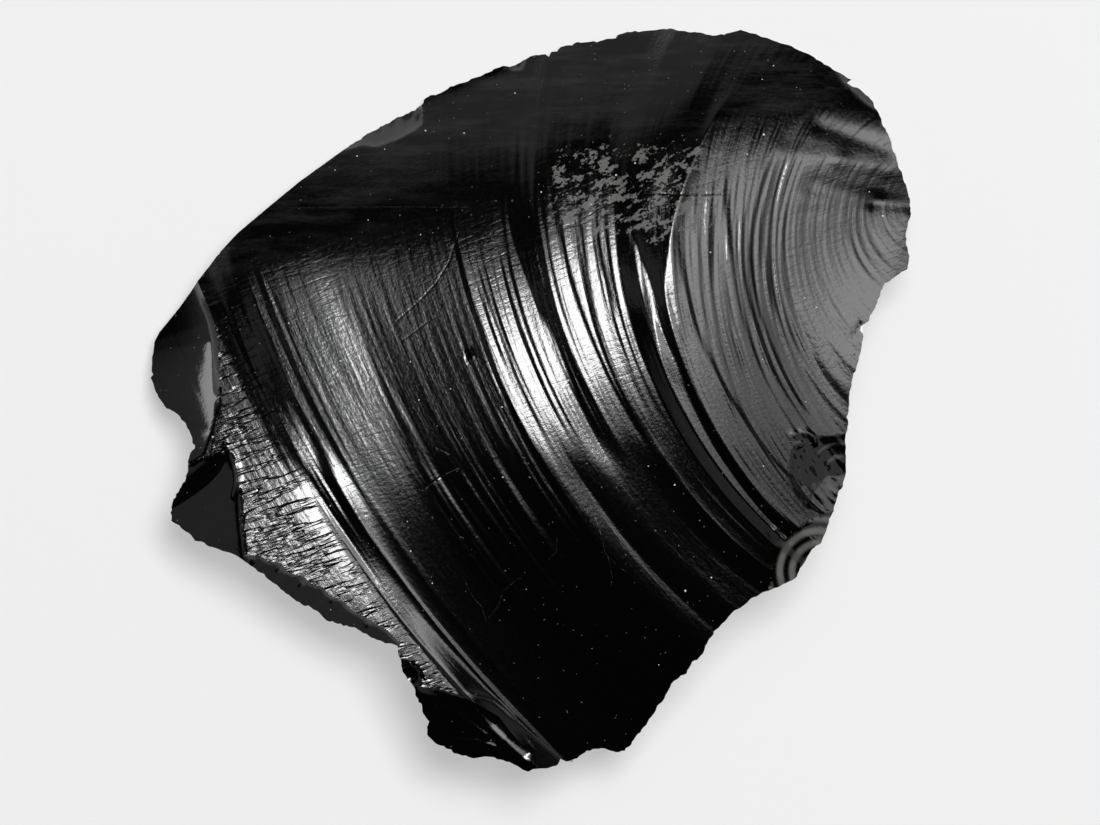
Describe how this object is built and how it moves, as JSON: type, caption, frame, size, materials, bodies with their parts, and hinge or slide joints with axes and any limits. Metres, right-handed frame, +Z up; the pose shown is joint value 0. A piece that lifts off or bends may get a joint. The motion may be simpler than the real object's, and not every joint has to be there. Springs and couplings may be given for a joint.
{
  "type": "obsidian chunk",
  "caption": "Thick flake of black volcanic glass with a broad rippled conchoidal face, chipped sharp rim and a flat underside to rest on.",
  "frame": {"origin": "centre of the outline's box seen from above, on the flat base", "axes": "+Z up from the flat base; +X towards the strike point where the main fracture began; +Y towards the thin feather edge"},
  "size_m": [0.1058, 0.1046, 0.0208],
  "materials": {
    "obsidian": "gloss"
  },
  "bodies": {
    "root": {"obsidian_chunk": "obsidian"}
  },
  "joints": []
}
